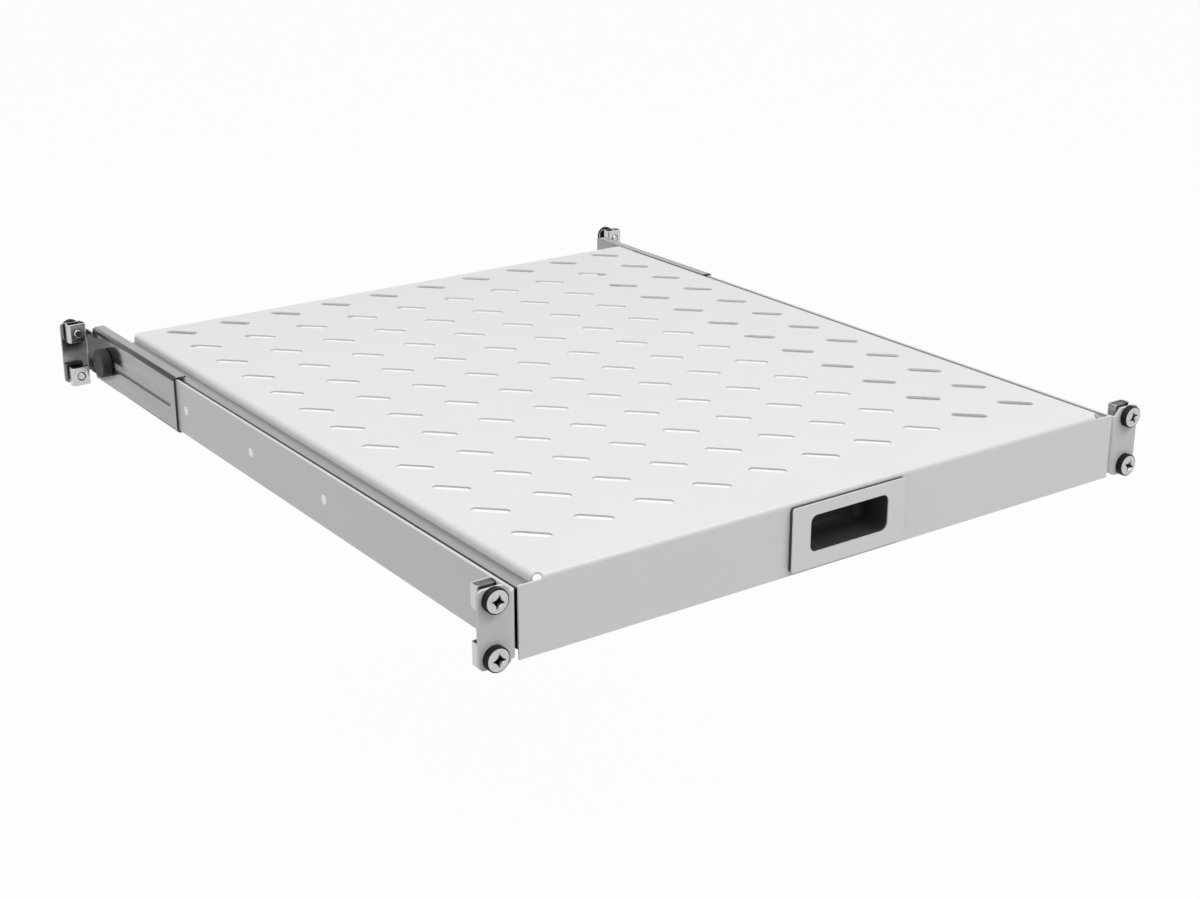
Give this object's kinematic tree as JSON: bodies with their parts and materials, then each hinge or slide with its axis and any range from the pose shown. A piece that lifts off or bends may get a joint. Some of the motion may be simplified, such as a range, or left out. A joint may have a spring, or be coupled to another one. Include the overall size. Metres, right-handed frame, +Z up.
{
  "type": "sliding rack shelf",
  "caption": "Slotted sheet-steel shelf with a finger pull, riding on ball-bearing slides between side rails whose rear brackets adjust to the depth of the rack.",
  "frame": {"origin": "centre of the front screws, on the face of the front posts where the front ears rest", "axes": "+X to the right seen from the front, +Y from the front posts to the rear posts, +Z up"},
  "size_m": [0.4826, 0.5648, 0.0458],
  "materials": {
    "grey_powder_coat": "satin powder coat",
    "black_plastic": "matt moulded",
    "grey_plastic": "satin moulded",
    "slide_steel": "bright zinc, rolled",
    "cage_steel": "pressed sheet",
    "ball_steel": "polished",
    "rivet_metal": "formed",
    "bright_steel": "bright nickel",
    "zinc_plate": "zinc plated"
  },
  "bodies": {
    "rack_rails": {"side_rail_left": "grey_powder_coat", "side_rail_right": "grey_powder_coat", "slide_outer_left": "slide_steel", "slide_outer_right": "slide_steel", "rail_rivets": "rivet_metal", "knob_studs": "bright_steel", "front_screws": "bright_steel", "front_cup_washers": "black_plastic", "front_square_nuts": "zinc_plate", "front_nut_cages": "bright_steel"},
    "tray": {"tray_panel": "grey_powder_coat", "pull_cup": "black_plastic", "pull_face": "grey_plastic", "slide_inner_left": "slide_steel", "slide_inner_right": "slide_steel", "tray_rivets": "rivet_metal"},
    "middle_left": {"slide_middle_left": "slide_steel"},
    "middle_right": {"slide_middle_right": "slide_steel"},
    "outer_cage_left": {"outer_cage_left": "cage_steel", "outer_balls_left": "ball_steel"},
    "outer_cage_right": {"outer_cage_right": "cage_steel", "outer_balls_right": "ball_steel"},
    "inner_cage_left": {"inner_cage_left": "cage_steel", "inner_balls_left": "ball_steel"},
    "inner_cage_right": {"inner_cage_right": "cage_steel", "inner_balls_right": "ball_steel"},
    "bracket_left": {"rear_bracket_left": "zinc_plate", "rear_screws_left": "bright_steel", "rear_cup_washers_left": "black_plastic", "rear_square_nuts_left": "zinc_plate", "rear_nut_cages_left": "bright_steel"},
    "bracket_right": {"rear_bracket_right": "zinc_plate", "rear_screws_right": "bright_steel", "rear_cup_washers_right": "black_plastic", "rear_square_nuts_right": "zinc_plate", "rear_nut_cages_right": "bright_steel"},
    "knob_left": {"hand_knob_left": "black_plastic"},
    "knob_right": {"hand_knob_right": "black_plastic"}
  },
  "joints": [
    {"name": "tray_slide", "type": "slide", "parent": "rack_rails", "child": "tray", "axis": [0, -1, 0], "range_m": [0, 0.45]},
    {"name": "middle_left_slide", "type": "slide", "parent": "rack_rails", "child": "middle_left", "axis": [0, -1, 0], "range_m": [0, 0.225]},
    {"name": "middle_right_slide", "type": "slide", "parent": "rack_rails", "child": "middle_right", "axis": [0, -1, 0], "range_m": [0, 0.225]},
    {"name": "outer_cage_left_slide", "type": "slide", "parent": "rack_rails", "child": "outer_cage_left", "axis": [0, -1, 0], "range_m": [0, 0.1125]},
    {"name": "outer_cage_right_slide", "type": "slide", "parent": "rack_rails", "child": "outer_cage_right", "axis": [0, -1, 0], "range_m": [0, 0.1125]},
    {"name": "inner_cage_left_slide", "type": "slide", "parent": "rack_rails", "child": "inner_cage_left", "axis": [0, -1, 0], "range_m": [0, 0.3375]},
    {"name": "inner_cage_right_slide", "type": "slide", "parent": "rack_rails", "child": "inner_cage_right", "axis": [0, -1, 0], "range_m": [0, 0.3375]},
    {"name": "bracket_left_slide", "type": "slide", "parent": "rack_rails", "child": "bracket_left", "axis": [0, 1, 0], "range_m": [0, 0.1]},
    {"name": "bracket_right_slide", "type": "slide", "parent": "rack_rails", "child": "bracket_right", "axis": [0, 1, 0], "range_m": [0, 0.1]},
    {"name": "knob_left_turn", "type": "hinge", "parent": "rack_rails", "child": "knob_left", "pos_m": [-0.22665, 0.5139, 0], "axis": [-1, 0, 0], "range_deg": [0, 360]},
    {"name": "knob_right_turn", "type": "hinge", "parent": "rack_rails", "child": "knob_right", "pos_m": [0.22665, 0.5139, 0], "axis": [1, 0, 0], "range_deg": [0, 360]}
  ],
  "couplings": [
    {"joint": "middle_left_slide", "follows": "tray_slide", "ratio": 0.5},
    {"joint": "middle_right_slide", "follows": "tray_slide", "ratio": 0.5},
    {"joint": "outer_cage_left_slide", "follows": "tray_slide", "ratio": 0.25},
    {"joint": "outer_cage_right_slide", "follows": "tray_slide", "ratio": 0.25},
    {"joint": "inner_cage_left_slide", "follows": "tray_slide", "ratio": 0.75},
    {"joint": "inner_cage_right_slide", "follows": "tray_slide", "ratio": 0.75}
  ]
}
